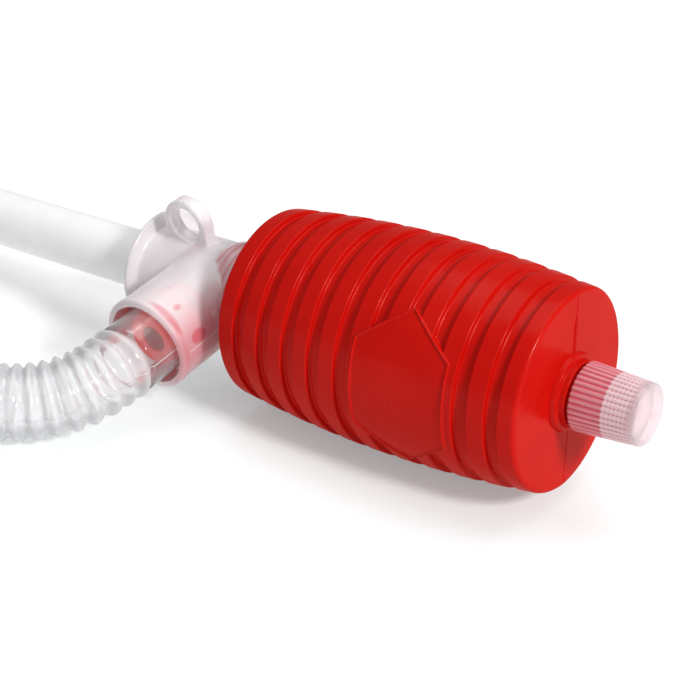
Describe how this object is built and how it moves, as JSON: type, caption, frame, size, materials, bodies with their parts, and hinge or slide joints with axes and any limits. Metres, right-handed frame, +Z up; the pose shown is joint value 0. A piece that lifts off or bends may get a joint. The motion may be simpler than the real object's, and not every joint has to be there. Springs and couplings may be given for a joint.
{
  "type": "siphon bulb pump",
  "caption": "Hand siphon pump: ribbed squeeze bulb with a screw vent cap, T-shaped valve body with a hanging ring, rigid suction tube and corrugated discharge hose.",
  "frame": {"origin": "bottom centre of the box around the rigid parts, without the discharge hose, as the pump lies on its bulb and on the tube's far end", "axes": "+X along the pump from the suction tube's end to the vent cap, +Z up; the discharge branch points towards -Y"},
  "size_m": [0.6128, 0.1425, 0.0703],
  "materials": {
    "red_shell": "satin blow-moulded",
    "cap_clear": "translucent, fluted",
    "red_valve": "satin",
    "milky_body": "translucent satin",
    "milky_tube": "translucent satin",
    "natural_plastic": "satin",
    "white_rubber": "smooth",
    "dark_rubber": "smooth",
    "clear_hose": "clear corrugated"
  },
  "bodies": {
    "pump": {"bulb": "red_shell", "neck_gasket": "dark_rubber", "valve_body": "milky_body", "intake_seat": "red_valve", "intake_cage": "natural_plastic", "outlet_seat": "red_valve", "outlet_retainer": "red_valve", "suction_tube": "milky_tube", "hose_inlet_cuff": "clear_hose", "discharge_hose": "clear_hose", "hose_outlet_cuff": "clear_hose"},
    "near_grip": {"grip_panel_near": "red_shell"},
    "far_grip": {"grip_panel_far": "red_shell"},
    "vent_seal": {"vent_seal": "white_rubber"},
    "vent_cap": {"vent_cap": "cap_clear"},
    "intake_disc": {"intake_disc": "white_rubber"},
    "outlet_disc": {"outlet_disc": "white_rubber"}
  },
  "joints": [
    {"name": "squeeze_near", "type": "slide", "parent": "pump", "child": "near_grip", "axis": [0, 1, 0], "range_m": [0, 0.012], "stiffness_N_per_m": 2500, "deforming": ["bulb"]},
    {"name": "squeeze_far", "type": "slide", "parent": "pump", "child": "far_grip", "axis": [0, -1, 0], "range_m": [0, 0.012], "stiffness_N_per_m": 2500, "deforming": ["bulb"]},
    {"name": "vent_lift", "type": "slide", "parent": "pump", "child": "vent_seal", "axis": [0.9987, 0, 0.0506], "range_m": [0, 0.00375]},
    {"name": "vent_turn", "type": "hinge", "parent": "vent_seal", "child": "vent_cap", "pos_m": [0.2772, 0.0033, 0.03863], "axis": [0.9987, 0, 0.0506], "range_deg": [0, 540]},
    {"name": "intake_lift", "type": "slide", "parent": "pump", "child": "intake_disc", "axis": [0.9987, 0, 0.0506], "range_m": [0, 0.0024], "stiffness_N_per_m": 20, "springref_m": -0.0005},
    {"name": "outlet_lift", "type": "slide", "parent": "pump", "child": "outlet_disc", "axis": [0.011, -0.9763, -0.2162], "range_m": [0, 0.0024], "stiffness_N_per_m": 20, "springref_m": -0.0005}
  ],
  "couplings": [
    {"joint": "squeeze_far", "follows": "squeeze_near", "ratio": 1},
    {"joint": "vent_turn", "follows": "vent_lift", "rad_per_m": 2513.3}
  ]
}
